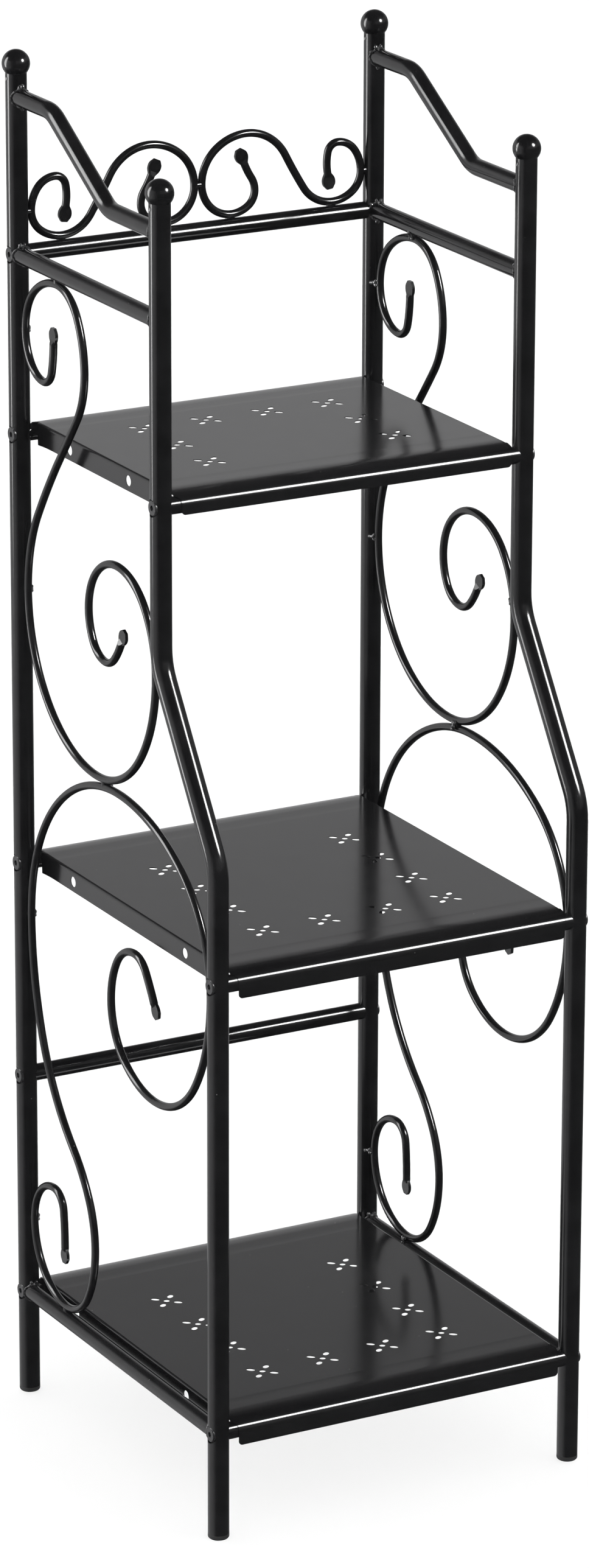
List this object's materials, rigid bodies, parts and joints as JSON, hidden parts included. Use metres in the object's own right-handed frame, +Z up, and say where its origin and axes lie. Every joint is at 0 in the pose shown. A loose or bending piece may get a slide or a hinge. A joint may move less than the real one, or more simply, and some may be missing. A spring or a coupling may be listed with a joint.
{
  "type": "bakers rack",
  "caption": "Free-standing bakers rack of black bent tube and scrolled wire, with punched sheet shelves on bolted cross tubes, ball finials and a back rail with scrolls.",
  "frame": {"origin": "on the floor under the middle of the rack's outer box", "axes": "+Z up, front towards -Y, +X to the right seen from the front"},
  "size_m": [0.321, 0.3304, 1.06],
  "materials": {
    "tube_paint": "semi-gloss black powder coat",
    "wire_paint": "semi-gloss black powder coat",
    "shelf_paint": "satin black powder coat",
    "finial_paint": "gloss black powder coat",
    "foot_cap": "matt black moulding",
    "bolt": "black oxide",
    "insert": "zinc plated"
  },
  "bodies": {
    "root": {"bottom_front_tube": "tube_paint", "bottom_rear_tube": "tube_paint", "bottom_shelf": "shelf_paint", "left_arm": "tube_paint", "left_back_scroll": "wire_paint", "left_bolts": "bolt", "left_front_finial": "finial_paint", "left_front_foot_cap": "foot_cap", "left_front_post": "tube_paint", "left_lower_scroll": "wire_paint", "left_lower_side_rail": "tube_paint", "left_rear_finial": "finial_paint", "left_rear_foot_cap": "foot_cap", "left_rear_post": "tube_paint", "left_tube_inserts": "insert", "left_upper_scroll": "wire_paint", "left_upper_side_rail": "tube_paint", "lower_back_rail": "tube_paint", "middle_front_tube": "tube_paint", "middle_rear_tube": "tube_paint", "middle_shelf": "shelf_paint", "right_arm": "tube_paint", "right_back_scroll": "wire_paint", "right_bolts": "bolt", "right_front_finial": "finial_paint", "right_front_foot_cap": "foot_cap", "right_front_post": "tube_paint", "right_lower_scroll": "wire_paint", "right_lower_side_rail": "tube_paint", "right_rear_finial": "finial_paint", "right_rear_foot_cap": "foot_cap", "right_rear_post": "tube_paint", "right_tube_inserts": "insert", "right_upper_scroll": "wire_paint", "right_upper_side_rail": "tube_paint", "top_front_tube": "tube_paint", "top_rear_tube": "tube_paint", "top_shelf": "shelf_paint", "upper_back_rail": "tube_paint"}
  },
  "joints": []
}
